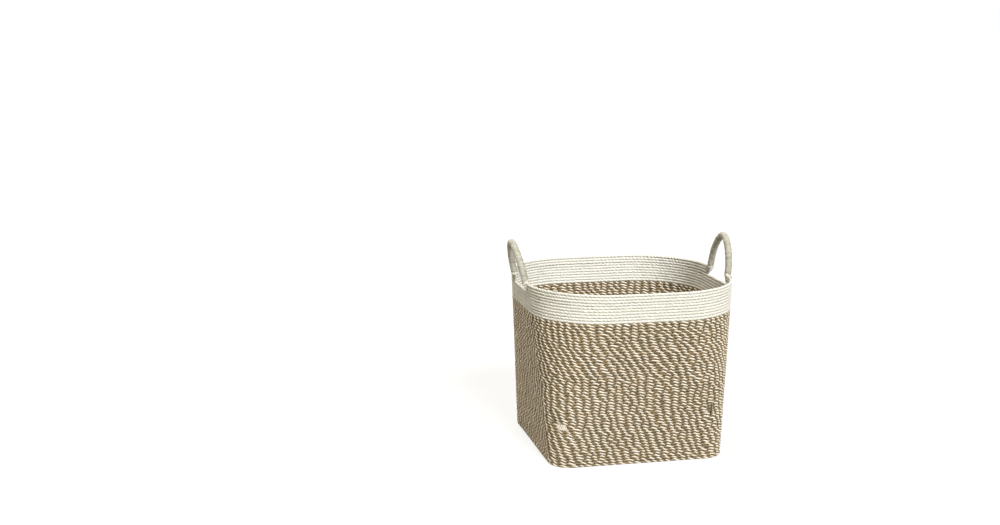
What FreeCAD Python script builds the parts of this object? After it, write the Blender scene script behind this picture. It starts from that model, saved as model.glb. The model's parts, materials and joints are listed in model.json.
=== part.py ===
import FreeCAD, Part
import math
import os

# Laundry basket sewn from courses of twisted cord, standing on its base.
# Millimetres.  Origin: centre of the underside of the base.
# +X towards the right handle, along the sides that carry no handle, +Y to the back, +Z up.

# ---- driving sizes -------------------------------------------------------------------------
cord_thickness = 5.5        # height of one sewn course, and thickness of the wall
body_courses = 50           # courses of natural and cream cord
band_courses = 7            # whole courses of white cord under the handles
rim_courses = 3             # white courses that stop at the handles and turn up into them

base_length = 337.0         # outside, along X, at the floor
base_width = 330.0          # outside, along Y, at the floor
base_corner_radius = 40.0
rim_length = 400.0          # outside, along X, at the rim
rim_width = 395.0           # outside, along Y, at the rim
rim_corner_radius = 143.0
rim_shift = 4.5             # how far the hand-sewn rim sits to the right of the base

body_cord_count = 5         # lengths of body cord, joined end to end by splices
base_ring_width = 60.5      # width of each length of base cord, as it lies flat
smallest_corner = 4.0       # tightest corner that the base cord turns

handle_span = 92.0          # between the middles of a handle's two feet
handle_height = 85.0        # from the hinge line to the top of the handle
handle_thickness = 13.5     # over the raffia wrap
core_thickness = 9.5        # the three cords inside the wrap
neck_thickness = 11.8       # the thinner wrap just above the rim
neck_height = 9.0           # from the hinge line to where the thick wrap starts
core_end_height = 3.0       # how far above the hinge line the core starts
handle_straight = 12.0      # from the hinge line to where a leg starts to curve
handle_top_radius = 26.0    # of the tighter bend at the top of the loop
handle_lean_left = 13.0     # degrees outward from upright
handle_lean_right = 6.0
handle_middle_left = 0.0    # where along the side wall each handle is centred
handle_middle_right = -15.0

lashing_length = 10.0       # along the rim
lashing_thickness = 0.9

splice_length = 15.0
splice_thickness = 0.9
splice_middle_x = -150.0
splice_course = 13          # first course that the splice covers, counted from the floor
splice_courses = 2

# ---- clearances ----------------------------------------------------------------------------
foot_clearance = 1.0        # between a handle's foot and the course it turns above
foot_side_gap = 0.5         # between a handle's foot and the cut ends of the rim cords
lashing_gap = 0.3           # between the lashing and the cut end of the rim cords
lashing_lift = 0.2          # between the lashing and the band below it
cutter_reach = 600.0        # half size of the boxes that cut the rings

# ---- derived sizes -------------------------------------------------------------------------
course_total = body_courses + band_courses + rim_courses
wall_height = course_total * cord_thickness
body_height = body_courses * cord_thickness
band_height = (body_courses + band_courses) * cord_thickness
rim_stack = rim_courses * cord_thickness
hinge_height = band_height + rim_stack / 2
foot_radius = rim_stack / 2 - foot_clearance
foot_length = handle_thickness - 2 * foot_clearance
rim_end_reach = handle_span / 2 + handle_thickness / 2 + foot_side_gap
handle_sides = (
    ("left", -1, handle_lean_left, handle_middle_left),
    ("right", 1, handle_lean_right, handle_middle_right),
)


def share_of(height):
    """How far up the wall a height is, from 0 at the floor to 1 at the rim."""
    return height / wall_height


def half_length_at(height):
    return (base_length + (rim_length - base_length) * share_of(height)) / 2


def half_width_at(height):
    return (base_width + (rim_width - base_width) * share_of(height)) / 2


def middle_at(height):
    """How far the middle of the outline has moved to the right."""
    return rim_shift * share_of(height)


def corner_radius_at(height):
    return base_corner_radius + (rim_corner_radius - base_corner_radius) * share_of(height)


def outline(height, offset=0.0):
    """The rounded rectangle of the wall's outside at a height, grown by an offset."""
    half_x = half_length_at(height) + offset
    half_y = half_width_at(height) + offset
    radius = max(corner_radius_at(height) + offset, smallest_corner)
    edges = []
    corners = [(1, -1, -90), (1, 1, 0), (-1, 1, 90), (-1, -1, 180)]
    arcs = []
    for side_x, side_y, start in corners:
        centre_x = middle_at(height) + side_x * (half_x - radius)
        centre = FreeCAD.Vector(centre_x, side_y * (half_y - radius), height)
        arcs.append([
            centre + FreeCAD.Vector(
                radius * math.cos(math.radians(start + turn)),
                radius * math.sin(math.radians(start + turn)),
                0,
            )
            for turn in (0, 45, 90)
        ])
    for index, points in enumerate(arcs):
        edges.append(Part.Arc(*points).toShape())
        next_start = arcs[(index + 1) % len(arcs)][0]
        edges.append(Part.LineSegment(points[-1], next_start).toShape())
    return Part.Wire(edges)


def block(low_height, high_height, low_offset, high_offset=None):
    """A closed solid inside the outline between two heights."""
    if high_offset is None:
        high_offset = low_offset
    wires = [outline(low_height, low_offset), outline(high_height, high_offset)]
    return Part.makeLoft(wires, True, True)


def ring(low_height, high_height, outer_offset=0.0, inner_offset=None):
    """A closed band of wall between two heights."""
    if inner_offset is None:
        inner_offset = -cord_thickness
    outside = block(low_height, high_height, outer_offset)
    inside = block(low_height, high_height, inner_offset)
    return outside.cut(inside)


def space(low_x, high_x, low_y, high_y, low_z, high_z):
    """A box used to keep one stretch of a ring."""
    corner = FreeCAD.Vector(low_x, low_y, low_z)
    return Part.makeBox(high_x - low_x, high_y - low_y, high_z - low_z, corner)


def save(shape, name):
    """Write one node, as one solid."""
    solid = shape.Solids[0] if len(shape.Solids) == 1 else shape
    solid.exportStep("parts/" + name + ".step")
    print(name, "solids", len(shape.Solids), "valid", shape.isValid(), "volume", round(shape.Volume))


# ---- base ----------------------------------------------------------------------------------
def upright_block(offset):
    """A straight-sided block of the base, one course thick."""
    wire = outline(0.0, offset)
    return Part.Face(wire).extrude(FreeCAD.Vector(0, 0, cord_thickness))


def make_base():
    """The base mat: a start coil and two lengths of cord laid flat round it."""
    outer_edge = block(0.0, cord_thickness, -cord_thickness)
    first_offset = -cord_thickness - base_ring_width
    second_offset = first_offset - base_ring_width
    middle = upright_block(first_offset)
    centre = upright_block(second_offset)
    save(outer_edge.cut(middle), "base_cord_outer")
    save(middle.cut(centre), "base_cord_inner")
    save(centre, "base_start_coil")


# ---- wall ----------------------------------------------------------------------------------
def make_body():
    """The natural and cream courses, in lengths of cord that are spliced end to end."""
    for index in range(body_cord_count):
        first = round(index * body_courses / body_cord_count)
        last = round((index + 1) * body_courses / body_cord_count)
        save(ring(first * cord_thickness, last * cord_thickness), "body_cord_" + str(index + 1))


def make_splice():
    """The pale binding over a splice, round the front left corner."""
    low = splice_course * cord_thickness
    high = low + splice_courses * cord_thickness
    skin = ring(low, high, splice_thickness, 0.0)
    low_x = splice_middle_x - splice_length / 2
    keep = space(low_x, low_x + splice_length, -cutter_reach, 0.0, low, high)
    save(skin.common(keep), "splice_binding")


def make_band():
    """The white courses that run all the way round."""
    save(ring(body_height, band_height), "band_cord")


def end_space(side, end, middle_y, near, far):
    """The stretch of wall between two distances from a handle's middle, on one side."""
    x_limits = sorted((0.0, side * cutter_reach))
    y_limits = sorted((middle_y + end * near, middle_y + end * far))
    return space(*x_limits, *y_limits, 0.0, cutter_reach)


def make_rim():
    """The top white courses, which stop at the handles' feet."""
    stack = ring(band_height, wall_height)
    for end_name, end in (("front", -1), ("back", 1)):
        halves = []
        for side_name, side, lean, middle_y in handle_sides:
            keep = end_space(side, end, middle_y, rim_end_reach, cutter_reach)
            halves.append(stack.common(keep))
        save(halves[0].fuse(halves[1]).removeSplitter(), "rim_cords_" + end_name)


def make_lashings():
    """Raffia that binds the ends of the rim cords, both faces and over the top."""
    low = band_height + lashing_lift
    high = wall_height + lashing_thickness
    grown = ring(low, high, lashing_thickness, -cord_thickness - lashing_thickness)
    skin = grown.cut(ring(low - cord_thickness, wall_height))
    near = rim_end_reach + lashing_gap
    for side_name, side, lean, middle_y in handle_sides:
        for end_name, end in (("front", -1), ("back", 1)):
            keep = end_space(side, end, middle_y, near, near + lashing_length)
            save(skin.common(keep), "foot_lashing_" + side_name + "_" + end_name)


# ---- handles -------------------------------------------------------------------------------
def section(outer_radius, inner_radius, middle):
    """The flat round end of a bar or tube that points up."""
    up = FreeCAD.Vector(0, 0, 1)
    face = Part.Face(Part.Wire(Part.makeCircle(outer_radius, middle, up)))
    if inner_radius:
        face = face.cut(Part.Face(Part.Wire(Part.makeCircle(inner_radius, middle, up))))
    return face


def arch(outer_radius, inner_radius, start_height):
    """A round bar or tube up one leg, over three bends and down the other, upright over the
    hinge line.  The side bends are wide and the top one is tighter, so the loop is pointed."""
    half_span = handle_span / 2
    top_rise = handle_height - handle_thickness / 2 - handle_straight - handle_top_radius
    side_radius = (
        (half_span ** 2 - handle_top_radius ** 2 + top_rise ** 2)
        / (2 * (half_span - handle_top_radius))
    )
    side_turn = math.degrees(math.asin(top_rise / (side_radius - handle_top_radius)))
    over = FreeCAD.Vector(-1, 0, 0)
    leg_rise = handle_straight - start_height
    bends = [
        (FreeCAD.Vector(0, side_radius - half_span, handle_straight), side_turn),
        (FreeCAD.Vector(0, 0, handle_straight + top_rise), 180 - 2 * side_turn),
        (FreeCAD.Vector(0, half_span - side_radius, handle_straight), side_turn),
    ]
    start = section(outer_radius, inner_radius, FreeCAD.Vector(0, -half_span, start_height))
    pieces = [start.extrude(FreeCAD.Vector(0, 0, leg_rise))]
    face = start.copy()
    face.translate(FreeCAD.Vector(0, 0, leg_rise))
    for centre, turn in bends:
        pieces.append(face.revolve(centre, over, turn))
        face = face.copy()
        face.rotate(centre, over, turn)
    pieces.append(face.extrude(FreeCAD.Vector(0, 0, -leg_rise)))
    return pieces[0].fuse(pieces[1:]).removeSplitter()


def foot(end):
    """A handle's foot: a round end on the hinge line and a thin neck that takes the core."""
    middle_y = end * handle_span / 2
    start = FreeCAD.Vector(0, middle_y - foot_length / 2, 0)
    knuckle = Part.makeCylinder(foot_radius, foot_length, start, FreeCAD.Vector(0, 1, 0))
    base_point = FreeCAD.Vector(0, middle_y, 0)
    neck = Part.makeCylinder(neck_thickness / 2, neck_height, base_point)
    socket_point = FreeCAD.Vector(0, middle_y, core_end_height)
    socket = Part.makeCylinder(core_thickness / 2, neck_height + handle_height, socket_point)
    return knuckle.fuse(neck).removeSplitter().cut(socket)


def make_handle(side_name, side, lean, middle_y):
    """One handle, leaning outward over the middle of the wall."""
    wall_middle = half_length_at(hinge_height) - cord_thickness / 2
    hinge_x = middle_at(hinge_height) + side * wall_middle
    axis = FreeCAD.Vector(0, side, 0)
    pieces = {
        "handle_core_" + side_name: arch(core_thickness / 2, 0.0, core_end_height),
        "handle_wrap_" + side_name: arch(handle_thickness / 2, core_thickness / 2, neck_height),
        "handle_foot_" + side_name + "_front": foot(-1),
        "handle_foot_" + side_name + "_back": foot(1),
    }
    for name, piece in pieces.items():
        placed = piece.copy()
        placed.rotate(FreeCAD.Vector(0, 0, 0), axis, lean)
        placed.translate(FreeCAD.Vector(hinge_x, middle_y, hinge_height))
        save(placed, name)
    print("hinge", side_name, round(hinge_x, 3), round(hinge_height, 3))


os.makedirs("parts", exist_ok=True)
make_base()
make_body()
make_splice()
make_band()
make_rim()
make_lashings()
for handle_values in handle_sides:
    make_handle(*handle_values)
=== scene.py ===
"""Laundry basket sewn from twisted cord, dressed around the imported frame."""
import json
import math

import bpy
import numpy as np
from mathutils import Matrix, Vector


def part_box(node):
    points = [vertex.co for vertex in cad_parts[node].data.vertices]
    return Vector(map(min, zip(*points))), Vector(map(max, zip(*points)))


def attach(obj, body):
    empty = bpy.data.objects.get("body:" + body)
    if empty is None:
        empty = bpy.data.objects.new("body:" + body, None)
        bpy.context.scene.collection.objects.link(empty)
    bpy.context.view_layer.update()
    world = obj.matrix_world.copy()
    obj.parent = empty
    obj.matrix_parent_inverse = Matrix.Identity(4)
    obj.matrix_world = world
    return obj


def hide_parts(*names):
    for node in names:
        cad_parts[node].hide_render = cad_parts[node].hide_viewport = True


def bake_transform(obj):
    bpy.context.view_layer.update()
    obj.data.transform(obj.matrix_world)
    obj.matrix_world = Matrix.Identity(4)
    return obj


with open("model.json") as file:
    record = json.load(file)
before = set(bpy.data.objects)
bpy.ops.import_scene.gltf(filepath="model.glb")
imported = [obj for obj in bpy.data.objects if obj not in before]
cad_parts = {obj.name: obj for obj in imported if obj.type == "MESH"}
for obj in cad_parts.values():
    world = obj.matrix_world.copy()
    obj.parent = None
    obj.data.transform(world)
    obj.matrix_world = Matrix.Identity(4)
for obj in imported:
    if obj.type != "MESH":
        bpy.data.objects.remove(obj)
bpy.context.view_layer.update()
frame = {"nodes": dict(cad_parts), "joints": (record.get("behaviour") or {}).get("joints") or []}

bl_info = {
    "name": "Sewn cord laundry basket",
    "version": (1, 0, 0),
    "blender": (4, 5, 0),
    "location": "View3D > Sidebar > Basket",
    "description": "Builds the twisted cord, the raffia and the studio of a laundry basket",
    "category": "Add Mesh",
}

MM = 0.001
TAU = 2 * math.pi
UP = np.array([0.0, 0.0, 1.0])
LENGTHWISE = np.array([0.0, 1.0, 0.0])
RIM_COURSES = 3
BODY_NODES = sorted(name for name in frame["nodes"] if name.startswith("body_cord_"))
WALL_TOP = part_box("rim_cords_front")[1][2]
BAND_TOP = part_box("band_cord")[1][2]
BODY_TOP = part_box("band_cord")[0][2]
PITCH = (WALL_TOP - BAND_TOP) / RIM_COURSES
BAND_FIRST = round(BODY_TOP / PITCH)
RIM_FIRST = round(BAND_TOP / PITCH)
HEART_POINTS = 128
HEART_OVERLAP = 0.8 * MM
HEART_EDGE_GAP = 0.3 * MM
TWIST_STEPS = 8
SEARCH_POINTS = 2000
TIGHT = 0.2 * MM
WRAP_DEPTH = 0.75 * MM
WANDER_SEED, LIFT_SEED, DRIFT_SEED, SLIP_SEED = 11, 12, 13, 91
JITTER_SEED, TENSION_SEED, SPLICE_SEED, LASHING_SEED = 400, 500, 31, 71
HINGES = {joint["child"]: joint["pos_m"] for joint in frame["joints"]}


# ---- sizes and colours ----
def distance(label, words, millimetres):
    """A length that a user can change."""
    return bpy.props.FloatProperty(
        name=label, description=words, default=millimetres * MM, unit="LENGTH",
    )


def tilt(label, words, degrees):
    """An angle that a user can change."""
    return bpy.props.FloatProperty(
        name=label, description=words, default=math.radians(degrees), subtype="ANGLE",
    )


class BasketSizes(bpy.types.PropertyGroup):
    """Lengths of the cord, the raffia and the handles."""

    lay: distance("Lay", "Length of one full twist of the cord", 15.4)
    ply_offset: distance("Ply offset", "From the cord's middle to the middle of a ply", 1.32)
    ply_depth: distance("Ply depth", "Half a ply's size, out from the cord's middle", 1.46)
    ply_width: distance("Ply width", "Half a ply's size, measured round the cord", 1.72)
    base_corner: distance("Base corner", "Corner radius at the floor", 40)
    rim_corner: distance("Rim corner", "Corner radius at the rim", 143)
    unevenness: distance("Unevenness", "How far the sewn wall wanders in and out", 1.3)
    handle_thickness: distance("Handle thickness", "Over the raffia wrap", 13.5)
    handle_height: distance("Handle height", "From the hinge line to the handle's top", 85)
    neck_height: distance("Neck height", "From the hinge line to the thick wrap", 9)
    handle_straight: distance("Handle straight", "Straight part of a handle's leg", 12)
    handle_top_radius: distance("Handle top", "Radius of the bend at a handle's top", 26)
    raffia_width: distance("Raffia width", "Width of one strand of the wrap", 3.0)
    raffia_step: distance("Raffia step", "From one turn of the wrap to the next", 2.9)
    lean_left: tilt("Left lean", "The left handle's lean outward from upright", 13)
    lean_right: tilt("Right lean", "The right handle's lean outward from upright", 6)


def to_linear(code):
    """An sRGB hex colour as linear red, green, blue and alpha."""
    channels = [int(code[at:at + 2], 16) / 255 for at in (1, 3, 5)]
    linear = [c / 12.92 if c <= 0.04045 else ((c + 0.055) / 1.055) ** 2.4 for c in channels]
    return (*linear, 1.0)


def shade(label, words, code):
    """A colour that a user can change."""
    return bpy.props.FloatVectorProperty(
        name=label, description=words, default=to_linear(code), size=4,
        min=0.0, max=1.0, subtype="COLOR",
    )


class BasketColours(bpy.types.PropertyGroup):
    """Colours of the plies and the raffia."""

    seagrass: shade("Seagrass", "Main colour of the natural ply", "#8F7C5A")
    seagrass_dark: shade("Seagrass, dark", "Brown fibres of the natural ply", "#463520")
    seagrass_green: shade("Seagrass, green", "Olive fibres of the natural ply", "#767050")
    seagrass_gold: shade("Seagrass, gold", "Yellow stretches of the natural ply", "#A0875A")
    # Heart colours: the fibres in the middle of each course, darker than the plies, which stand as
    # painted shade in the grooves between plies and courses.
    heart: shade("Heart", "Fibres in the grooves of the natural cord", "#7A6950")
    white_heart: shade("White heart", "Fibres in the grooves of the white cord", "#DFDDD4")
    cream: shade("Cream", "Main colour of the cream ply", "#F0E8DA")
    cream_dark: shade("Cream, dark", "Darker fibres of the cream ply", "#CBC0A8")
    white: shade("White", "Main colour of the bleached cord", "#E5E4DD")
    white_dark: shade("White, dark", "Greyer fibres of the bleached cord", "#D5D5CA")
    raffia: shade("Raffia", "Main colour of the wrap", "#C3C2B6")
    # The dark streaks along the wrap's strands are painted shade, standing in for the shade in its
    # creases.
    raffia_dark: shade("Raffia, dark", "Creases of the wrap", "#7E7A66")
    raffia_pale: shade("Raffia, pale", "Main colour of the foot lashings", "#DEDBCE")
    floor: shade("Floor", "Colour of the studio floor", "#FFFFFF")
    floor_thrown: shade("Floor, thrown back", "How much light the floor throws back", "#A8A69E")
    room: shade("Room", "Soft light from all round", "#8A8478")


# ---- materials ----
def add_node(tree, kind, inputs=None, **settings):
    """Adds one node.  An input is a value for its socket, or an output that is linked to it."""
    node = tree.nodes.new(kind)
    for name, value in settings.items():
        setattr(node, name, value)
    for key, value in (inputs or {}).items():
        if isinstance(value, bpy.types.NodeSocket):
            tree.links.new(value, node.inputs[key])
        else:
            node.inputs[key].default_value = value
    return node


def new_material(name):
    """An empty material and its tree."""
    material = bpy.data.materials.new(name)
    material.use_nodes = True
    material.node_tree.nodes.clear()
    return material, material.node_tree


def stretched_noise(tree, place, scale, detail, roughness):
    """Noise that is pulled out in one direction or more."""
    stretched = add_node(tree, "ShaderNodeMapping", {"Vector": place, "Scale": scale})
    return add_node(tree, "ShaderNodeTexNoise", {
        "Vector": stretched.outputs["Vector"],
        "Scale": 1.0,
        "Detail": detail,
        "Roughness": roughness,
    }).outputs["Fac"]


def fibre_pattern(tree, width, length):
    """Streaks that run along a strand, from the strand's own map in metres."""
    place = add_node(tree, "ShaderNodeUVMap", uv_map="along_strand").outputs["UV"]
    return stretched_noise(tree, place, (1 / length, 1 / width, 1.0), 2.0, 0.6)


def course_pattern(tree, length, height):
    """Patches that are long along a course and change from one course to the next."""
    place = add_node(tree, "ShaderNodeTexCoord").outputs["Object"]
    return stretched_noise(tree, place, (1 / length, 1 / length, 1 / height), 3.0, 0.65)


def widened(tree, value, low, high):
    """Stretches the middle of a noise to the whole of 0 to 1."""
    return add_node(tree, "ShaderNodeMapRange", {
        "Value": value, "From Min": low, "From Max": high,
    }).outputs["Result"]


def mixed(tree, factor, first, second):
    """One colour over another."""
    colours = {0: factor, 6: first, 7: second}
    return add_node(tree, "ShaderNodeMix", colours, data_type="RGBA").outputs[2]


def finish_surface(tree, colour, height, depth, roughness, sheen):
    """A fibre surface: colour, fine relief, and a little sheen from loose hairs."""
    relief = add_node(tree, "ShaderNodeBump", {
        "Height": height, "Distance": depth, "Strength": 0.9,
    })
    surface = add_node(tree, "ShaderNodeBsdfPrincipled", {
        "Base Color": colour,
        "Roughness": roughness,
        "IOR": 1.5,
        "Sheen Weight": sheen,
        "Sheen Roughness": 0.5,
        "Normal": relief.outputs["Normal"],
    })
    add_node(tree, "ShaderNodeOutputMaterial", {"Surface": surface.outputs["BSDF"]})


def seagrass_ply(colours):
    """Seagrass, dried and twisted.  Flat brown, tan and olive blades lie side by side along the
    ply, so the eye sees streaks that change from one stretch of cord to the next.  Blades are
    drawn 1 mm wide, about twice the real width, so that they show."""
    material, tree = new_material("seagrass_twisted")
    blades = widened(tree, fibre_pattern(tree, 1.0 * MM, 14 * MM), 0.36, 0.60)
    spots = widened(tree, course_pattern(tree, 11 * MM, 6 * MM), 0.36, 0.52)
    golds = widened(tree, course_pattern(tree, 17 * MM, 7 * MM), 0.50, 0.64)
    greens = widened(tree, course_pattern(tree, 45 * MM, 9 * MM), 0.48, 0.66)
    tan = mixed(tree, greens, colours.seagrass, colours.seagrass_green)
    warm = mixed(tree, golds, tan, colours.seagrass_gold)
    streaked = mixed(tree, blades, colours.seagrass_dark, warm)
    colour = mixed(tree, spots, streaked, warm)
    finish_surface(tree, colour, blades, 0.3 * MM, 0.62, 0.05)
    return material


def seagrass_end(colours):
    """A tucked-in end of seagrass.  Its cut blades stay brown, so the eye sees a dark fleck."""
    material, tree = new_material("seagrass_cut_end")
    blades = widened(tree, fibre_pattern(tree, 0.8 * MM, 12 * MM), 0.38, 0.68)
    colour = mixed(tree, blades, colours.seagrass_dark, colours.seagrass)
    finish_surface(tree, colour, blades, 0.2 * MM, 0.7, 0.05)
    return material


def groove_shade_fibres(name, colour, dark):
    """Short fibres and thread, pressed in the middle of a cord. Their colour is darker than the
    plies, as painted shade in the grooves.
    """
    material, tree = new_material(name)
    hairs = widened(tree, fibre_pattern(tree, 0.8 * MM, 6 * MM), 0.35, 0.65)
    finish_surface(tree, mixed(tree, hairs, dark, colour), hairs, 0.2 * MM, 0.9, 0.0)
    return material


def jute_finish(name, colour, dark, hair_range, stretch, stretch_range):
    """Jute, bleached and twisted.  Fine hairs along the ply, darker in some stretches."""
    material, tree = new_material(name)
    hairs = widened(tree, fibre_pattern(tree, 0.7 * MM, 10 * MM), *hair_range)
    stretches = widened(tree, course_pattern(tree, stretch, 6 * MM), *stretch_range)
    lined = mixed(tree, hairs, dark, colour)
    shown = mixed(tree, stretches, lined, colour)
    finish_surface(tree, shown, hairs, 0.18 * MM, 0.8, 0.1)
    return material


def raffia_finish(name, pale, dark):
    """Raffia, bleached and wound damp. Flat leaf strips with long creases and a faint satin, so the
    eye sees fine lines across the strands. The creases are raised by bump, and the dark colour
    along them is painted crease shade."""
    material, tree = new_material(name)
    crease_relief_and_shade = widened(tree, fibre_pattern(tree, 0.7 * MM, 25 * MM), 0.36, 0.58)
    patches = widened(tree, course_pattern(tree, 12 * MM, 8 * MM), 0.42, 0.70)
    lined = mixed(tree, crease_relief_and_shade, dark, pale)
    colour = mixed(tree, patches, lined, pale)
    finish_surface(tree, colour, crease_relief_and_shade, 0.2 * MM, 0.5, 0.03)
    return material


def painted_floor(colours):
    """Painted board, rolled matt white.  An even pale ground.  It shows paler than it is for
    the light that it throws back, as a sheet of lit paper does, so shadows stay faint."""
    material, tree = new_material("matt_white_paint")
    tone = colours.floor
    thrown = add_node(tree, "ShaderNodeBsdfDiffuse", {"Color": colours.floor_thrown})
    matt = add_node(tree, "ShaderNodeBsdfDiffuse", {"Color": tone})
    lit = add_node(tree, "ShaderNodeEmission", {"Color": tone, "Strength": 1.0})
    shown = add_node(tree, "ShaderNodeMixShader", {
        0: 0.75, 1: matt.outputs["BSDF"], 2: lit.outputs["Emission"],
    })
    ray = add_node(tree, "ShaderNodeLightPath")
    chosen = add_node(tree, "ShaderNodeMixShader", {
        0: ray.outputs["Is Camera Ray"], 1: thrown.outputs["BSDF"], 2: shown.outputs["Shader"],
    })
    add_node(tree, "ShaderNodeOutputMaterial", {"Surface": chosen.outputs["Shader"]})
    return material


# Finishes of one kind: how each is made, its material, its main and darker colours, the rest.
FINISHES = {
    # Brown fibres under the natural and cream plies, darker than the plies as painted shade in the
    # grooves.
    "heart": (groove_shade_fibres, "seagrass_pressed", "heart", "seagrass_dark"),
    # Bleached jute under the white plies, a little darker than the plies as painted pale shade in
    # the grooves.
    "white_heart": (groove_shade_fibres, "jute_pressed", "white_heart", "white_dark"),
    # Half bleached jute, so the eye sees warm cream strokes.
    "cream": (
        jute_finish, "jute_half_bleached", "cream", "cream_dark",
        (0.35, 0.62), 70 * MM, (0.45, 0.70),
    ),
    # Fully bleached jute, so the eye reads rows of soft white cord.
    "white": (
        jute_finish, "jute_bleached", "white", "white_dark",
        (0.33, 0.60), 60 * MM, (0.42, 0.70),
    ),
    # The wrap of the handles, greyed by hands.
    "raffia": (raffia_finish, "raffia_handled", "raffia", "raffia_dark"),
    # The lashings at the handles' feet, almost as pale as the white cord.
    "lashing": (raffia_finish, "raffia_bleached", "raffia_pale", "raffia"),
}
MAKERS = {"seagrass": seagrass_ply, "seagrass_end": seagrass_end, "floor": painted_floor}
made_materials = {}


def make_material(key, colours):
    """One finish, by its key."""
    if key in MAKERS:
        return MAKERS[key](colours)
    make, name, main, dark, *rest = FINISHES[key]
    return make(name, getattr(colours, main), getattr(colours, dark), *rest)


def material_of(key):
    """The finish with this key, made once."""
    if key not in made_materials:
        made_materials[key] = make_material(key, bpy.context.scene.basket_colours)
    return made_materials[key]


# ---- shape of the wall ----
def on_line(height, low_height, low_value, high_height, high_value):
    """A value between two known ones, by height."""
    share = (height - low_height) / (high_height - low_height)
    return low_value + (high_value - low_value) * share


def middle_at(height):
    """How far the wall's middle has moved to the right at a height."""
    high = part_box("rim_cords_front")
    return (high[0][0] + high[1][0]) / 2 * height / WALL_TOP


def half_sizes(height):
    """Half the length, half the width and the corner radius of the wall's outside."""
    sizes = bpy.context.scene.basket_sizes
    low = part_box(BODY_NODES[0])[1]
    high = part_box("rim_cords_front")
    low_x = low[0] - middle_at(low[2])
    high_x = high[1][0] - middle_at(WALL_TOP)
    half_x = on_line(height, low[2], low_x, WALL_TOP, high_x)
    half_y = on_line(height, low[2], low[1], WALL_TOP, -high[0][1])
    radius = on_line(height, 0.0, sizes.base_corner, WALL_TOP, sizes.rim_corner)
    return half_x, half_y, radius


def cord_sizes(height):
    """The same sizes for the middle line of the cord."""
    return [value - PITCH / 2 for value in half_sizes(height)]


def outline_length(half_x, half_y, radius):
    """The way round a rounded rectangle."""
    return 4 * (half_x - radius) + 4 * (half_y - radius) + TAU * radius


def outline_points(half_x, half_y, radius, along):
    """Points of a rounded rectangle and its outward directions.  The distance along it starts
    at the middle of the front and grows to the right, anticlockwise from above."""
    flat_x = half_x - radius
    flat_y = half_y - radius
    bend = radius * TAU / 4
    along = np.mod(along, outline_length(half_x, half_y, radius))
    points = np.zeros((len(along), 2))
    outward = np.zeros((len(along), 2))
    corners = [(flat_x, -flat_y), (flat_x, flat_y), (-flat_x, flat_y), (-flat_x, -flat_y)]
    straights = [2 * flat_y, 2 * flat_x, 2 * flat_y, flat_x]
    start = 0.0
    ends = [(0.0, -half_y)]
    spans = [flat_x]
    for index in range(5):
        facing = np.array([math.sin(index * TAU / 4), -math.cos(index * TAU / 4)])
        heading = np.array([-facing[1], facing[0]])
        inside = (along >= start) & (along <= start + spans[-1] + 1e-9)
        points[inside] = np.array(ends[-1]) + (along[inside] - start)[:, None] * heading
        outward[inside] = facing
        start += spans[-1]
        if index == 4:
            break
        centre = np.array(corners[index])
        turning = (along > start) & (along < start + bend)
        angle = (along[turning] - start) / radius - TAU / 4 + index * TAU / 4
        direction = np.stack([np.cos(angle), np.sin(angle)], 1)
        points[turning] = centre + radius * direction
        outward[turning] = direction
        start += bend
        after = np.array([-facing[1], facing[0]])
        ends.append(tuple(centre + radius * after))
        spans.append(straights[index])
    return points, outward


def waver(share, height, seed):
    """A smooth wander of the wall, the same on neighbouring courses, between about -1 and 1."""
    draw = np.random.default_rng(seed)
    total = np.zeros_like(share)
    for waves in (2, 3, 5, 8, 13):
        turn = draw.uniform(0, TAU)
        climb = draw.uniform(-9, 9)
        total += np.sin(TAU * waves * share + turn + climb * height / WALL_TOP) / (1 + 0.25 * waves)
    return total / 2


# ---- strands ----
def unit(vectors):
    """Vectors in rows, each made one long."""
    return vectors / np.linalg.norm(vectors, axis=1, keepdims=True)


def turned(angle, first, second):
    """Directions that have turned from the first towards the second."""
    return np.cos(angle)[:, None] * first + np.sin(angle)[:, None] * second


def along_path(points, closed):
    """Unit directions along a line of points."""
    if closed:
        return unit(np.roll(points, -1, 0) - np.roll(points, 1, 0))
    return unit(np.gradient(points, axis=0))


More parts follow.
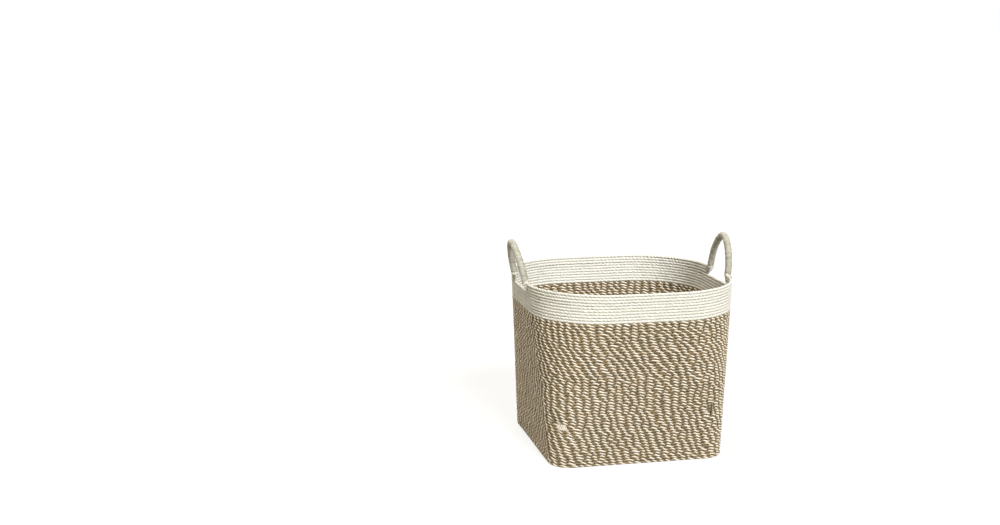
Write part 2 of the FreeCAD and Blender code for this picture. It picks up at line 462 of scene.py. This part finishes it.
class StrandMesh:
    """Collects tubes of any section and makes one mesh of them."""

    def __init__(self):
        self.points = []
        self.quads = []
        self.quad_maps = []
        self.quad_slots = []
        self.fans = []
        self.total = 0

    def add(self, middle, first, size_first, size_second, sides, slot, closed):
        """A tube round a line of points.  First is a direction across it at each point."""
        count = len(middle)
        direction = along_path(middle, closed)
        first = unit(first - direction * np.sum(first * direction, 1, keepdims=True))
        second = np.cross(direction, first)
        angles = np.arange(sides) * TAU / sides
        size_first = np.broadcast_to(size_first, count)
        size_second = np.broadcast_to(size_second, count)
        ring = (
            middle[:, None, :]
            + np.cos(angles)[None, :, None] * (size_first[:, None] * first)[:, None, :]
            + np.sin(angles)[None, :, None] * (size_second[:, None] * second)[:, None, :]
        )
        self.points.append(ring.reshape(-1, 3))
        row = np.arange(count if closed else count - 1)[:, None]
        after = (row + 1) % count
        column = np.arange(sides)[None, :]
        beside = (column + 1) % sides
        corners = [(row, column), (row, beside), (after, beside), (after, column)]
        quads = np.stack([self.total + r * sides + c for r, c in corners], -1)
        self.quads.append(quads.reshape(-1, 4))
        steps = np.linalg.norm(np.roll(middle, -1, 0) - middle, axis=1)
        travelled = np.concatenate([[0.0], np.cumsum(steps)])
        round_size = TAU * float(np.mean(size_first + size_second)) / 2 / sides
        row_map = np.broadcast_to(travelled[row], (len(row), sides))
        after_map = np.broadcast_to(travelled[row + 1], (len(row), sides))
        low = np.broadcast_to(column * round_size, (len(row), sides))
        high = low + round_size
        maps = [(row_map, low), (row_map, high), (after_map, high), (after_map, low)]
        self.quad_maps.append(np.stack([np.stack(pair, -1) for pair in maps], 2).reshape(-1, 4, 2))
        self.quad_slots.append(np.full(len(row) * sides, slot))
        start = self.total
        self.total += count * sides
        if not closed:
            self.close_end(start, sides, middle[0], slot, False)
            self.close_end(start + (count - 1) * sides, sides, middle[-1], slot, True)

    def close_end(self, start, sides, middle, slot, forward):
        """Puts a middle point and a fan of triangles over an open end."""
        self.points.append(np.array([middle]))
        self.fans.append((start, sides, self.total, slot, forward))
        self.total += 1

    def build(self, name, materials):
        """The finished object."""
        quads = np.concatenate(self.quads)
        triangles = []
        slots = [np.concatenate(self.quad_slots)]
        for start, sides, centre, slot, forward in self.fans:
            for side in range(sides):
                pair = [start + side, start + (side + 1) % sides]
                triangles.append([*pair, centre] if forward else [pair[1], pair[0], centre])
            slots.append(np.full(sides, slot))
        triangles = np.array(triangles, int).reshape(-1, 3)
        mesh = bpy.data.meshes.new(name)
        points = np.concatenate(self.points)
        mesh.vertices.add(len(points))
        mesh.vertices.foreach_set("co", points.astype(np.float32).ravel())
        corners = np.concatenate([quads.ravel(), triangles.ravel()])
        mesh.loops.add(len(corners))
        mesh.loops.foreach_set("vertex_index", corners.astype(np.int32))
        starts = np.concatenate([
            np.arange(len(quads)) * 4,
            len(quads) * 4 + np.arange(len(triangles)) * 3,
        ])
        mesh.polygons.add(len(quads) + len(triangles))
        mesh.polygons.foreach_set("loop_start", starts.astype(np.int32))
        mesh.polygons.foreach_set("material_index", np.concatenate(slots).astype(np.int32))
        mesh.update(calc_edges=True)
        mesh.polygons.foreach_set("use_smooth", np.ones(len(mesh.polygons), bool))
        strand_map = mesh.uv_layers.new(name="along_strand")
        places = np.zeros((len(corners), 2), np.float32)
        places[:len(quads) * 4] = np.concatenate(self.quad_maps).reshape(-1, 2)
        strand_map.data.foreach_set("uv", places.ravel())
        for key in materials:
            mesh.materials.append(material_of(key))
        mesh.validate()
        piece = bpy.data.objects.new(name, mesh)
        bpy.context.scene.collection.objects.link(piece)
        return piece


def lay_cord(strands, middle, outward, upward, turn, slots, closed, steps, sides, tight=0.0):
    """Twists two plies round a line of points.  The plies run down to the right on the
    outside, as they do in a cord with an S lay.  In a tight cord they are pressed together."""
    sizes = bpy.context.scene.basket_sizes
    draw = np.random.default_rng(int(abs(middle[0]).sum() * 1e6) % 100000 + len(middle))
    for index, slot in enumerate(slots):
        angle = -turn + index * TAU / 2
        side = turned(angle, outward, upward)
        share = np.linspace(0, 1, len(middle), endpoint=not closed)
        fullness = 1 + 0.06 * waver(share, 0.0, int(draw.integers(1 << 30)))
        lumps = round(len(middle) / steps / 3.3)
        lump = 1 + 0.05 * np.sin(TAU * lumps * share + draw.uniform(0, TAU))
        strands.add(
            middle + side * (sizes.ply_offset - tight),
            side,
            (sizes.ply_depth + tight) * fullness,
            (sizes.ply_width + tight) * fullness * lump,
            sides, slot, closed,
        )


def course_shape(height, share):
    """The middle line of one course and its outward directions."""
    sizes = bpy.context.scene.basket_sizes
    half = cord_sizes(height)
    flat, outward = outline_points(*half, share * outline_length(*half))
    swell = math.sin(math.pi * min(height / WALL_TOP, 1.0)) * 0.7 + 0.3
    wander = sizes.unevenness * swell * waver(share, height, WANDER_SEED)
    flat = flat + outward * wander[:, None]
    lift = 0.22 * MM * waver(share, height * 6, LIFT_SEED) * min(height / (2 * PITCH), 1.0)
    flat[:, 0] += middle_at(height)
    middle = np.column_stack([flat, height + lift])
    return middle, np.column_stack([outward, np.zeros(len(flat))])


def twist_start(course):
    """How far the twist has turned when a course begins.  Each course starts a little further
    on than the one below, and never by quite the same amount."""
    most = 200
    slips = np.random.default_rng(SLIP_SEED).normal(0.0, 0.75, most)
    steps = 0.45 + 0.75 * np.sin(np.arange(most) / 5.3 + 0.6) + slips
    return steps[:course].sum()


def twist_drift(course, share):
    """How far hand tension has let the twist of a course run ahead or fall behind."""
    gentle = waver(share, course * 0.5 * PITCH, DRIFT_SEED)
    tight = np.random.default_rng(TENSION_SEED + course)
    local = sum(
        np.sin(TAU * waves * share + tight.uniform(0, TAU)) * tight.uniform(0.25, 0.75)
        for waves in (4, 9, 16, 25, 38)
    )
    return 2.6 * gentle + local


def lay_courses(name, first, last, slots, materials, tight=0.0):
    """A stretch of wall: whole courses from one to the next, as one piece."""
    sizes = bpy.context.scene.basket_sizes
    strands = StrandMesh()
    for course in range(first, last):
        height = (course + 0.5) * PITCH
        turns = round(outline_length(*cord_sizes(height)) / sizes.lay)
        share = np.arange(turns * TWIST_STEPS) / (turns * TWIST_STEPS)
        middle, outward = course_shape(height, share)
        draw = np.random.default_rng(JITTER_SEED + course)
        jitter = draw.uniform(-0.12, 0.12) * MM
        middle = middle + outward * jitter
        turn = TAU * turns * share + twist_start(course) + twist_drift(course, share)
        upward = np.broadcast_to(UP, outward.shape)
        lay_cord(strands, middle, outward, upward, turn, slots, True, TWIST_STEPS, 6, tight)
        at_edge = course in (0, RIM_FIRST - 1)
        lay_heart(strands, height, at_edge, 1.0 * MM + 4 * tight, len(materials) - 1)
    return strands.build(name, materials)


def heart_reach(at_edge):
    """Half the height of a heart.  It reaches into the courses above and below, but stays
    inside a course that has a free edge."""
    return PITCH / 2 + (-HEART_EDGE_GAP if at_edge else HEART_OVERLAP)


def lay_heart(strands, height, at_edge, depth, slot):
    """The pressed fibres and the sewing in the middle of a course, which close the grooves between
    the plies. Their darker colour is painted shade in the grooves."""
    middle, outward = course_shape(height, np.arange(HEART_POINTS) / HEART_POINTS)
    strands.add(middle, outward, depth, heart_reach(at_edge), 4, slot, True)


def add_piece(piece, body, slot, *nodes):
    """Puts a piece on its body, in place of its plain solids."""
    if nodes:
        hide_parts(*nodes)
    if body:
        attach(piece, body)
    return piece


# ---- handles ----
class Handle:
    """The middle line of a handle, in its own leaning plane."""

    blend_reach = 12 * MM

    def __init__(self, side_name):
        sizes = bpy.context.scene.basket_sizes
        self.name = side_name
        self.side = -1 if side_name == "left" else 1
        self.body = "handle_" + side_name
        self.lean = sizes.lean_left if side_name == "left" else sizes.lean_right
        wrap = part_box("handle_wrap_" + side_name)
        self.middle_y = (wrap[0][1] + wrap[1][1]) / 2
        self.half_span = (wrap[1][1] - wrap[0][1]) / 2 - sizes.handle_thickness / 2
        hinge = HINGES[self.body]
        self.hinge = np.array([hinge[0], self.middle_y, hinge[2]])
        self.low = sizes.neck_height
        self.straight = sizes.handle_straight
        self.top_radius = sizes.handle_top_radius
        self.top_rise = (
            sizes.handle_height - sizes.handle_thickness / 2 - self.straight - self.top_radius
        )
        self.side_radius = (
            (self.half_span ** 2 - self.top_radius ** 2 + self.top_rise ** 2)
            / (2 * (self.half_span - self.top_radius))
        )
        self.side_turn = math.asin(self.top_rise / (self.side_radius - self.top_radius))
        self.rise = np.array([self.side * math.sin(self.lean), 0.0, math.cos(self.lean)])
        self.outward = np.array([self.side * math.cos(self.lean), 0.0, -math.sin(self.lean)])
        self.half_length = (
            self.straight - self.low + self.side_radius * self.side_turn
            + self.top_radius * (TAU / 4 - self.side_turn)
        )
        self.length = 2 * self.half_length

    def half_point(self, run):
        """Across and up for distances from a foot's wrap end to the top, and the way out."""
        leg = self.straight - self.low
        side = self.side_radius * self.side_turn
        first = np.clip((run - leg) / self.side_radius, 0.0, self.side_turn)
        second = np.clip((run - leg - side) / self.top_radius, 0.0, TAU / 4 - self.side_turn)
        turn = first + second
        across = self.side_radius - self.half_span - self.side_radius * np.cos(first)
        height = self.straight + self.side_radius * np.sin(first)
        across = across + self.top_radius * (np.cos(self.side_turn) - np.cos(turn)) * (second > 0)
        height = height + self.top_radius * (np.sin(turn) - np.sin(self.side_turn)) * (second > 0)
        height = np.where(run < leg, self.low + run, height)
        return across, height, -np.cos(turn), np.sin(turn)

    def point(self, along):
        """Points at distances along the middle line, from the front foot's wrap end over the
        top to the back one, and the directions that face away from the loop's middle."""
        along = np.asarray(along, float)
        back = along > self.half_length
        across, height, away_y, away_z = self.half_point(np.where(back, self.length - along, along))
        across = np.where(back, -across, across)
        away_y = np.where(back, -away_y, away_y)
        place = self.hinge + across[:, None] * LENGTHWISE + height[:, None] * self.rise
        away = away_y[:, None] * LENGTHWISE + away_z[:, None] * self.rise
        return place, away

    def foot(self, end):
        """The middle of the front foot (-1) or the back one (1), on the hinge line."""
        return self.hinge + np.array([0.0, end * self.half_span, 0.0])

    def bend_from_rim(self, piece, end):
        """Bakes the piece's placement into its mesh; it does not turn with the handle."""
        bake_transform(piece)


def both_handles():
    """The left handle and the right one."""
    return [Handle(side_name) for side_name in ("left", "right")]


def all_feet():
    """Each foot, as its handle, the name of its end, and -1 for the front or 1 for the back."""
    return [
        (handle, end_name, end)
        for handle in both_handles()
        for end_name, end in (("front", -1), ("back", 1))
    ]


def wind(strands, handle, start, end, radius, step, lean_by, seed):
    """Winds one flat strand round a handle between two distances along it."""
    sizes = bpy.context.scene.basket_sizes
    draw = np.random.default_rng(seed)
    turns = max(1, round((end - start) / step))
    share = np.linspace(0, 1, turns * 14 + 1)

    def by_hand(least, most):
        return np.interp(share * turns, np.arange(turns + 1), draw.uniform(least, most, turns + 1))

    wobble = by_hand(-0.25, 0.25)
    angle = TAU * turns * share
    lean = lean_by * radius * np.cos(angle + 0.6)
    along = start + (end - start) * share + lean + wobble * step
    along = np.clip(along, start - lean_by * radius, end + lean_by * radius)
    place, away = handle.point(np.clip(along, -handle.low, handle.length + handle.low))
    across = np.broadcast_to(handle.outward, away.shape)
    side = turned(angle, away, across)
    lift = by_hand(-0.18, 0.22)
    width = 1 + by_hand(-0.16, 0.16)
    middle = place + side * (radius + lift * MM)[:, None]
    strands.add(middle, side, WRAP_DEPTH, sizes.raffia_width / 2 * width, 6, 0, False)


def ribbon(strands, corners, facing, width, thickness=0.45 * MM, count=40):
    """A flat strand along a smooth line through a few points."""
    corners = np.array(corners, float)
    places = np.linspace(0, len(corners) - 1, count)
    base = np.clip(places.astype(int), 0, len(corners) - 2)
    part = (places - base)[:, None]
    before = corners[np.clip(base - 1, 0, len(corners) - 1)]
    here = corners[base]
    there = corners[base + 1]
    after = corners[np.clip(base + 2, 0, len(corners) - 1)]
    middle = 0.5 * (
        2 * here + (there - before) * part
        + (2 * before - 5 * here + 4 * there - after) * part ** 2
        + (3 * here - before - 3 * there + after) * part ** 3
    )
    outward = np.array([facing(point) for point in middle])
    strands.add(middle, outward, thickness, width / 2, 6, 0, False)


# ---- operators ----
class BASKET_OT_base(bpy.types.Operator):
    """Lays the cord of the base flat, round and round"""

    bl_idname = "basket.base"
    bl_label = "Base mat"

    def lay_round(self, strands, half_x, half_y, corner, run):
        """One flat round of cord, and the heart that closes the gaps beside it, darker as painted
        shade in those gaps.
        """
        lay = bpy.context.scene.basket_sizes.lay
        steps = 7
        length = outline_length(half_x, half_y, corner)
        turns = max(2, round(length / lay))
        share = np.arange(turns * steps) / (turns * steps)
        flat, outward = outline_points(half_x, half_y, corner, share * length)
        middle = np.column_stack([flat, np.full(len(flat), PITCH / 2)])
        outward = np.column_stack([outward, np.zeros(len(flat))])
        turn = TAU * turns * share + TAU * run / lay
        upward = np.broadcast_to(UP, outward.shape)
        lay_cord(strands, middle, outward, upward, turn, (0, 1), True, steps, 5)
        strands.add(middle, outward, 0.8 * PITCH, 1.1 * MM, 4, 2, True)
        return length

    def execute(self, context):
        half_x, half_y, radius = half_sizes(PITCH / 2)
        total = int((min(half_x, half_y) - PITCH) / PITCH)
        edges = (
            ("base_cord_outer", "base_mat_outer"),
            ("base_cord_inner", "base_mat_inner"),
            ("base_start_coil", "base_mat_start"),
        )
        limits = [0.0] + [half_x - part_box(node)[1][0] for node, _ in edges[1:]] + [half_x]
        run = 0.0
        for index, (node, name) in enumerate(edges):
            strands = StrandMesh()
            for course in range(total):
                inset = (course + 1.5) * PITCH
                if not limits[index] <= inset < limits[index + 1]:
                    continue
                sides = (half_x - inset, half_y - inset)
                corner = min(max(radius - inset, 4 * MM), *sides)
                run += self.lay_round(strands, *sides, corner, run)
            piece = strands.build(name, ("seagrass", "cream", "heart"))
            add_piece(piece, "basket", "natural_cord", node)
        return {"FINISHED"}


class BASKET_OT_body(bpy.types.Operator):
    """Sews the natural and cream courses of the wall"""

    bl_idname = "basket.body"
    bl_label = "Body courses"

    def execute(self, context):
        for node in BODY_NODES:
            first, last = (round(corner[2] / PITCH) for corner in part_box(node))
            name = node.replace("body_cord", "body_courses")
            piece = lay_courses(name, first, last, (0, 1), ("seagrass", "cream", "heart"))
            add_piece(piece, "basket", "natural_cord", node)
        return {"FINISHED"}


class BASKET_OT_band(bpy.types.Operator):
    """Sews the white courses under the handles"""

    bl_idname = "basket.band"
    bl_label = "White band"

    def execute(self, context):
        materials = ("white", "white_heart")
        piece = lay_courses("band_courses", BAND_FIRST, RIM_FIRST, (0, 0), materials, TIGHT)
        add_piece(piece, "basket", "white_cord", "band_cord")
        return {"FINISHED"}


class BASKET_OT_rim(bpy.types.Operator):
    """Lays the top white cords and turns their ends up into the handles"""

    bl_idname = "basket.rim"
    bl_label = "Rim cords"

    bend_radii = (14.0 * MM, 10.5 * MM, 7.0 * MM)
    bundle = ((-1.6 * MM, 2.75 * MM), (3.2 * MM, 0.0), (-1.6 * MM, -2.75 * MM))
    reach = 14 * MM

    def rim_line(self, course, handle, end):
        """One cord from the middle of the front or back to the inside of the wrap."""
        index = course - RIM_FIRST
        height = (course + 0.5) * PITCH
        bend = self.bend_radii[index]
        out, inward = self.bundle[index]
        leg_y = end * handle.foot(end)[1] - inward
        step = 1.0 * MM
        half = cord_sizes(height)
        length = outline_length(*half)
        quarter = np.arange(0.0, length / 4, step)
        middle, outward = course_shape(height, quarter / length)
        if end > 0:
            share = 0.5 - quarter / length
            middle, outward = course_shape(height, share)
        keep = (np.abs(middle[:, 1]) > leg_y + bend) | (np.abs(middle[:, 0]) < half[0] * 0.8)
        middle, outward = middle[keep], outward[keep]
        if handle.side < 0:
            middle = middle * (-1, 1, 1) + (2 * middle_at(height), 0, 0)
            outward = outward * (-1, 1, 1)
        corner_x = middle[-1, 0]
        turn = np.arange(step, bend * TAU / 4, step) / bend
        arc = np.column_stack([
            np.full(len(turn), corner_x),
            end * (leg_y + bend - bend * np.sin(turn)),
            middle[-1, 2] + bend * (1 - np.cos(turn)),
        ])
        top = np.arange(step, self.reach, step)
        leg = np.column_stack([
            np.full(len(top), corner_x),
            np.full(len(top), end * leg_y),
            middle[-1, 2] + bend + top,
        ])
        line = np.vstack([middle, arc, leg])
        above = np.clip((line[:, 2] - height - 0.8 * MM) / (15 * MM), 0.0, 1.0)
        ease = above * above * (3 - 2 * above)
        wanted = (
            handle.hinge[0] + handle.side * out
            + handle.side * (line[:, 2] - handle.hinge[2]) * math.tan(handle.lean)
        )
        line[:, 0] = line[:, 0] * (1 - ease) + wanted * ease
        return line

    def lay_rim_cord(self, strands, course, handle, end):
        """Twists one rim cord along its line, with a heart that thins out in the handle."""
        sizes = bpy.context.scene.basket_sizes
        line = self.rim_line(course, handle, end)
        spacing = np.linalg.norm(np.diff(line, axis=0), axis=1)
        travelled = np.concatenate([[0.0], np.cumsum(spacing)])
        count = round(travelled[-1] / sizes.lay * TWIST_STEPS)
        wanted = np.arange(count) * sizes.lay / TWIST_STEPS
        line = np.column_stack([np.interp(wanted, travelled, line[:, k]) for k in range(3)])
        heading = along_path(line, False)
        across = np.array([float(handle.side), 0.0, 0.0])
        sign = 1 if handle.side * end < 0 else -1
        flat = np.column_stack([heading[:, 1], -heading[:, 0], np.zeros(count)]) * sign
        weight = np.clip(np.linalg.norm(flat, axis=1), 0, 1)[:, None]
        outward = unit(flat * weight + across * (1 - weight) + 1e-9)
        outward = unit(outward - heading * np.sum(outward * heading, 1, keepdims=True))
        upward = np.cross(outward, heading) * sign
        turn = TAU * wanted / sizes.lay * sign + course * 2.1
        lay_cord(strands, line, outward, upward, turn, (0, 0), False, TWIST_STEPS, 6, TIGHT)
        above = np.clip((line[:, 2] - line[0, 2] - 1.5 * MM) / (8 * MM), 0.0, 1.0)
        at_edge = course == RIM_FIRST + RIM_COURSES - 1
        reach = heart_reach(at_edge) - 1.8 * MM * above
        strands.add(line, outward, 1.8 * MM - 0.6 * MM * above, reach, 4, 1, False)

    def execute(self, context):
        for handle, end_name, end in all_feet():
            strands = StrandMesh()
            for course in range(RIM_FIRST, RIM_FIRST + RIM_COURSES):
                self.lay_rim_cord(strands, course, handle, end)
            name = "rim_cords_" + end_name + "_" + handle.name
            piece = strands.build(name, ("white", "white_heart"))
            handle.bend_from_rim(piece, end)
            nodes = ("rim_cords_" + end_name, "handle_foot_" + handle.name + "_" + end_name)
            add_piece(piece, None, "white_cord", *nodes)
        return {"FINISHED"}


class BASKET_OT_splice(bpy.types.Operator):
    """Binds the splice at the front left corner"""

    bl_idname = "basket.splice"
    bl_label = "Splice binding"

    def execute(self, context):
        low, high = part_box("splice_binding")
        height = (low[2] + high[2]) / 2
        half = half_sizes(height)
        length = outline_length(*half)
        share = np.linspace(0.75, 1.0, SEARCH_POINTS)
        flat, outward = outline_points(*half, share * length)
        flat[:, 0] += middle_at(height)
        strands = StrandMesh()
        draw = np.random.default_rng(SPLICE_SEED)
        for place in np.linspace(low[0] + 1.3 * MM, high[0] - 1.3 * MM, 5):
            index = int(np.argmin(np.abs(flat[:, 0] - place)))
            face = np.append(outward[index], 0.0)
            slide = np.array([-outward[index][1], outward[index][0], 0.0]) * 3.2 * MM
            centre = np.append(flat[index], height)
            rows = []
            for up in np.linspace(-1, 1, 9):
                depth = 0.5 * MM * (1 - up * up) - 1.5 * MM * abs(up) ** 5
                lift = up * ((high[2] - low[2]) / 2 + draw.uniform(-0.4, 0.2) * MM)
                rows.append(centre + face * depth - slide * up + UP * lift)
            ribbon(strands, rows, lambda point, face=face: face, 2.8 * MM, 0.9 * MM, count=24)
        piece = strands.build("splice_strands", ("cream",))
        add_piece(piece, "basket", "raffia_wrap", "splice_binding")
        return {"FINISHED"}


class BASKET_OT_tuck(bpy.types.Operator):
    """Leaves the end of one ply tucked in near the front right corner"""

    bl_idname = "basket.tuck"
    bl_label = "Tucked end"

    place = 133 * MM
    low = 84 * MM
    high = 114 * MM

    def execute(self, context):
        strands = StrandMesh()
        rows = []
        for index, height in enumerate(np.linspace(self.low, self.high, 6)):
            middle, outward = course_shape(height, np.linspace(0.0, 0.25, SEARCH_POINTS))
            nearest = int(np.argmin(np.abs(middle[:, 0] - self.place)))
            face = outward[nearest]
            depth = PITCH / 2 + (-1.6 * MM if index in (0, 5) else 1.2 * MM)
            lean = np.array([0.4 * MM * math.sin(index * 1.1), 0.0, 0.0])
            rows.append(middle[nearest] + face * depth + lean)
        ribbon(strands, rows, lambda point: face, 2.6 * MM, thickness=0.8 * MM)
        piece = strands.build("tucked_ply_end", ("seagrass_end",))
        add_piece(piece, "basket", "natural_cord")
        return {"FINISHED"}


class BASKET_OT_cores(bpy.types.Operator):
    """Runs the bundled cords through the handles"""

    bl_idname = "basket.cores"
    bl_label = "Handle cores"

    start = 20 * MM
    lay = 120 * MM

    def execute(self, context):
        for handle in both_handles():
            strands = StrandMesh()
            along = np.linspace(self.start, handle.length - self.start, 90)
            place, away = handle.point(along)
            across = np.broadcast_to(handle.outward, away.shape)
            for index in range(RIM_COURSES):
                angle = TAU * (index / RIM_COURSES + along / self.lay)
                side = turned(angle, away, across)
                strands.add(place + side * 2.5 * MM, side, 2.1 * MM, 2.4 * MM, 8, 0, False)
            piece = strands.build("handle_cords_" + handle.name, ("white",))
            add_piece(piece, handle.body, "white_cord", "handle_core_" + handle.name)
        return {"FINISHED"}


class BASKET_OT_wraps(bpy.types.Operator):
    """Winds the raffia round the handles"""

    bl_idname = "basket.wraps"
    bl_label = "Handle wraps"

    seeds = {"left": 51, "right": 52}
    crossings = ((0.22, 61), (0.63, 62), (0.80, 63))

    def execute(self, context):
        sizes = context.scene.basket_sizes
        radius = sizes.handle_thickness / 2 - WRAP_DEPTH
        for handle in both_handles():
            strands = StrandMesh()
            place, away = handle.point(np.linspace(0.0, handle.length, 120))
            strands.add(place, away, radius - 0.2 * MM, radius - 0.2 * MM, 14, 0, False)
            start, end = 0.5 * MM, handle.length - 0.5 * MM
            seed = self.seeds[handle.name]
            wind(strands, handle, start, end, radius, sizes.raffia_step, 0.42, seed)
            for share, seed in self.crossings:
                start = share * handle.length
                end = start + 5 * MM
                wind(strands, handle, start, end, radius + 0.4 * MM, 2.6 * MM, -0.5, seed)
            piece = strands.build("raffia_wrap_" + handle.name, ("raffia",))
            add_piece(piece, handle.body, "raffia_wrap", "handle_wrap_" + handle.name)
        return {"FINISHED"}


class BASKET_OT_lashings(bpy.types.Operator):
    """Ties the handles' feet to the rim"""

    bl_idname = "basket.lashings"
    bl_label = "Foot lashings"

    def execute(self, context):
        for handle, end_name, end in all_feet():
            strands = StrandMesh()
            self.bind(strands, handle, end)
            piece = strands.build("foot_strands_" + handle.name + "_" + end_name, ("lashing",))
            handle.bend_from_rim(piece, end)
            node = "foot_lashing_" + handle.name + "_" + end_name
            add_piece(piece, None, "raffia_wrap", node)
        return {"FINISHED"}

    def loop(self, strands, centre, wide, slant):
        """A closed flat strand round the upright stack of cords, leaning along the rim."""
        half_x, half_z, width, rounder = 3.35 * MM, 8.6 * MM, 2.2 * MM, 0.7
        angle = np.arange(28) * TAU / 28
        cos = np.sign(np.cos(angle)) * np.abs(np.cos(angle)) ** rounder
        sin = np.sign(np.sin(angle)) * np.abs(np.sin(angle)) ** rounder
        middle = (
            centre
            + (half_x * cos)[:, None] * wide
            + (half_z * sin)[:, None] * UP
            + (slant * np.sin(angle))[:, None] * LENGTHWISE
        )
        out = unit(np.cos(angle)[:, None] * wide + 0.6 * np.sin(angle)[:, None] * UP)
        strands.add(middle, out, 0.4 * MM, width / 2, 6, 0, True)

    def ring(self, strands, centre, handle, lean_by):
        """A closed flat strand round the neck."""
        angle = np.arange(24) * TAU / 24
        out = turned(angle, handle.outward, LENGTHWISE)
        middle = centre + out * 6.0 * MM + (lean_by * np.cos(angle + 0.8))[:, None] * handle.rise
        strands.add(middle, out, 0.4 * MM, 1.1 * MM, 6, 0, True)

    def bind(self, strands, handle, end):
        """Loops round the rim cords, rings round the neck, and a diagonal on each face."""
        foot = handle.foot(end)
        draw = np.random.default_rng(LASHING_SEED + end + 2 * handle.side)
        for index in range(3):
            away = end * (11.5 + 2.3 * index) * MM
            centre = foot + np.array([0.0, away, 0.3 * MM])
            slant = draw.uniform(0.5, 1.5) * MM * end
            self.loop(strands, centre, np.array([float(handle.side), 0.0, 0.0]), slant)
        for index in range(3):
            height = (6.3 + 1.7 * index) * MM
            self.ring(strands, foot + handle.rise * height, handle, draw.uniform(-1, 1) * MM)
        # Up the neck, out from its middle, and along the rim.
        on_neck = (
            (10 * MM, 5.8 * MM, -2.5 * MM),
            (5 * MM, 5.6 * MM, 0.5 * MM),
            (1 * MM, 4.4 * MM, 3.5 * MM),
        )
        on_rim = ((-3.0 * MM, 9.0 * MM), (-6.0 * MM, 13.0 * MM))
        for face in (1, -1):
            across = handle.outward * face
            points = [
                foot + handle.rise * up + across * out + LENGTHWISE * end * along
                for up, out, along in on_neck
            ] + [
                foot + across * 3.2 * MM + np.array([0.0, end * along, up])
                for up, along in on_rim
            ]
            ribbon(strands, points, lambda point: across, 2.4 * MM)


class BASKET_OT_stage(bpy.types.Operator):
    """Sets the floor, the soft studio light and the camera"""

    bl_idname = "basket.stage"
    bl_label = "Stage"

    floor_reach = 30.0
    # Each sun: name, direction towards it, strength, softness in degrees, tint.
    suns = (
        ("key_sun", (0.16, -0.82, 0.54), 3.9, 25, "#FFFFFF"),
        ("side_sun", (-0.36, -0.12, 0.92), 1.5, 15, "#FFF4E6"),
        ("back_sun", (0.05, 0.85, 0.45), 1.3, 60, "#FFFFFF"),
    )
    camera_place = (-0.7771, -2.5314, 0.8419)
    camera_down = math.radians(10.536)
    camera_turn = math.radians(12.136)

    def execute(self, context):
        scene = context.scene
        floor = bpy.data.meshes.new("floor")
        reach = self.floor_reach
        corners = [(-reach, -reach, 0), (reach, -reach, 0), (reach, reach, 0), (-reach, reach, 0)]
        floor.from_pydata(corners, [], [(0, 1, 2, 3)])
        floor.materials.append(material_of("floor"))
        ground = bpy.data.objects.new("floor", floor)
        scene.collection.objects.link(ground)
        self.add_backdrop(scene)
        for sun in self.suns:
            self.add_sun(*sun)
        self.add_camera(scene)
        scene.view_settings.view_transform = "Standard"
        return {"FINISHED"}

    def add_backdrop(self, scene):
        """A white surround that lights the object less than it shows."""
        world = bpy.data.worlds.new("studio_white")
        world.use_nodes = True
        tree = world.node_tree
        tree.nodes.clear()
        seen = add_node(tree, "ShaderNodeLightPath")
        colours = scene.basket_colours
        tone = mixed(tree, seen.outputs["Is Camera Ray"], colours.room, colours.floor)
        glow = add_node(tree, "ShaderNodeBackground", {"Color": tone, "Strength": 1.0})
        add_node(tree, "ShaderNodeOutputWorld", {"Surface": glow.outputs["Background"]})
        scene.world = world

    def add_sun(self, name, towards, strength, softness, tint):
        """A far lamp as wide as a big softbox."""
        light = bpy.data.lights.new(name, "SUN")
        light.color = to_linear(tint)[:3]
        light.energy = strength
        light.angle = math.radians(softness)
        lamp = bpy.data.objects.new(name, light)
        lamp.rotation_euler = Vector(towards).to_track_quat("Z", "Y").to_euler()
        bpy.context.scene.collection.objects.link(lamp)

    def add_camera(self, scene):
        """Stands in front and a little to the left, looking to the right and down."""
        lens = bpy.data.cameras.new("camera")
        lens.lens = 50.0
        lens.sensor_width = 36.0
        camera = bpy.data.objects.new("camera", lens)
        camera.location = self.camera_place
        camera.rotation_euler = (TAU / 4 - self.camera_down, 0.0, -self.camera_turn)
        scene.collection.objects.link(camera)
        scene.camera = camera


class BASKET_PT_panel(bpy.types.Panel):
    """Buttons for each group of pieces"""

    bl_idname = "BASKET_PT_panel"
    bl_label = "Basket"
    bl_space_type = "VIEW_3D"
    bl_region_type = "UI"
    bl_category = "Basket"

    def draw(self, context):
        for operator in OPERATORS:
            self.layout.operator(operator.bl_idname, text=operator.bl_label)
        for group in (context.scene.basket_sizes, context.scene.basket_colours):
            column = self.layout.column()
            for name in group.__annotations__:
                column.prop(group, name)


OPERATORS = (
    BASKET_OT_stage,
    BASKET_OT_base,
    BASKET_OT_body,
    BASKET_OT_band,
    BASKET_OT_rim,
    BASKET_OT_splice,
    BASKET_OT_tuck,
    BASKET_OT_cores,
    BASKET_OT_wraps,
    BASKET_OT_lashings,
)
CLASSES = (BasketSizes, BasketColours, *OPERATORS, BASKET_PT_panel)


def register():
    """Makes the sizes, colours, operators and panel known."""
    for item in CLASSES:
        bpy.utils.register_class(item)
    bpy.types.Scene.basket_sizes = bpy.props.PointerProperty(type=BasketSizes)
    bpy.types.Scene.basket_colours = bpy.props.PointerProperty(type=BasketColours)


def unregister():
    """Takes them away again."""
    del bpy.types.Scene.basket_colours
    del bpy.types.Scene.basket_sizes
    for item in reversed(CLASSES):
        bpy.utils.unregister_class(item)


def main():
    """Builds the basket and the stage."""
    register()
    for operator in OPERATORS:
        group, name = operator.bl_idname.split(".")
        getattr(getattr(bpy.ops, group), name)()
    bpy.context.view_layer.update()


if __name__ == "__main__":
    main()
